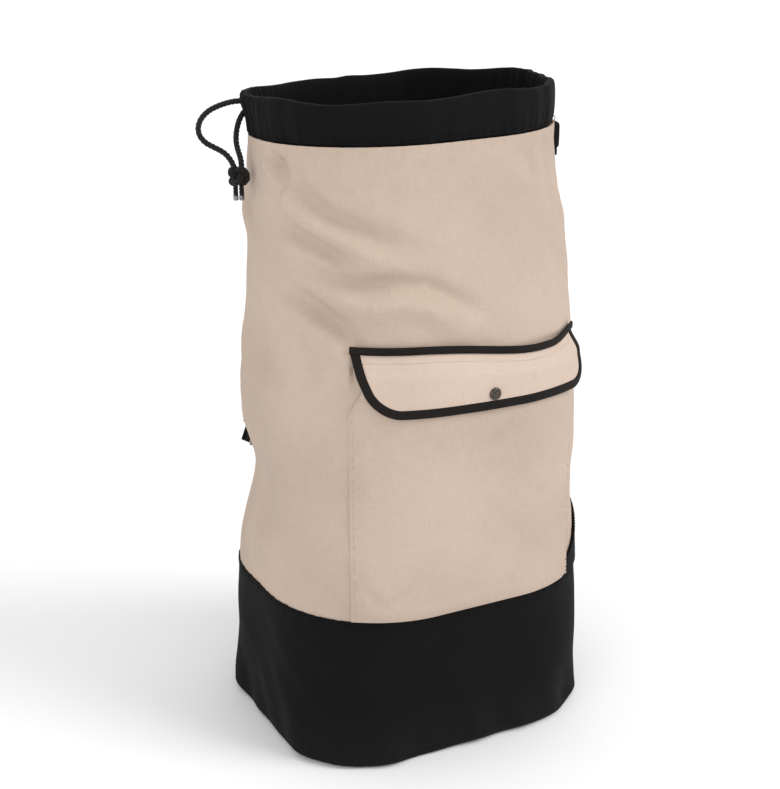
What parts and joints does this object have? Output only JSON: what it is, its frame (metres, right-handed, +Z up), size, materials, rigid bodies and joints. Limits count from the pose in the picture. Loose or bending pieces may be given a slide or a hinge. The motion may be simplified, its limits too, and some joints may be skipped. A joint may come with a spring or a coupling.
{
  "type": "laundry bag",
  "caption": "Tall free-standing canvas laundry bag with a drawstring casing round the open mouth, a dark foot band, a snap-flap front pocket and an adjustable shoulder strap.",
  "frame": {"origin": "middle of the bottom panel's underside, on the surface the bag stands on", "axes": "+Z up through the open mouth, the front pocket faces -Y, the shoulder strap's anchors are on the +X side"},
  "size_m": [0.4013, 0.3494, 0.691],
  "materials": {
    "cream_canvas": "matte woven",
    "black_canvas": "matte woven",
    "black_tape": "ribbed tape",
    "webbing": "woven webbing",
    "cord": "twisted cord",
    "snap_metal": "dark gunmetal",
    "slider_metal": "nickel"
  },
  "bodies": {
    "bag": {"base_panel": "black_canvas", "base_band": "black_canvas", "body_front_panel": "cream_canvas", "body_back_panel": "cream_canvas", "mouth_casing": "black_canvas", "drawstring_in_casing": "cord", "pocket_panel": "cream_canvas", "flap_top_tape": "black_tape", "snap_stud": "snap_metal", "snap_post": "snap_metal", "strap_gusset": "black_canvas", "strap_top_tab": "webbing"},
    "pocket_flap": {"flap_panel": "cream_canvas", "flap_binding": "black_tape", "snap_cap": "snap_metal", "snap_socket": "snap_metal"},
    "shoulder_strap": {"strap_webbing": "webbing"},
    "strap_slider": {"slider_frame": "slider_metal", "slider_bar": "slider_metal"},
    "drawstring_ends": {"drawstring_loop_strand": "cord", "drawstring_straight_strand": "cord", "drawstring_knot": "cord", "drawstring_end_left": "cord", "drawstring_end_right": "cord"}
  },
  "joints": [
    {"name": "flap_hinge", "type": "hinge", "parent": "bag", "child": "pocket_flap", "pos_m": [0, -0.162, 0.45], "axis": [-1, 0, 0], "range_deg": [0, 150]},
    {"name": "strap_swing", "type": "hinge", "parent": "bag", "child": "shoulder_strap", "pos_m": [0.16001, -0.05212, 0.625], "axis": [0.0595, 0.0003, -0.9982], "range_deg": [0, 120]},
    {"name": "slider_slide", "type": "slide", "parent": "shoulder_strap", "child": "strap_slider", "axis": [0.78, 0.3178, 0.5391], "range_m": [0, 0.02]},
    {"name": "drawstring_swing", "type": "hinge", "parent": "bag", "child": "drawstring_ends", "pos_m": [-0.153, 0.0505, 0.673], "axis": [0.3905, 0.9206, 0], "range_deg": [0, 58]}
  ]
}
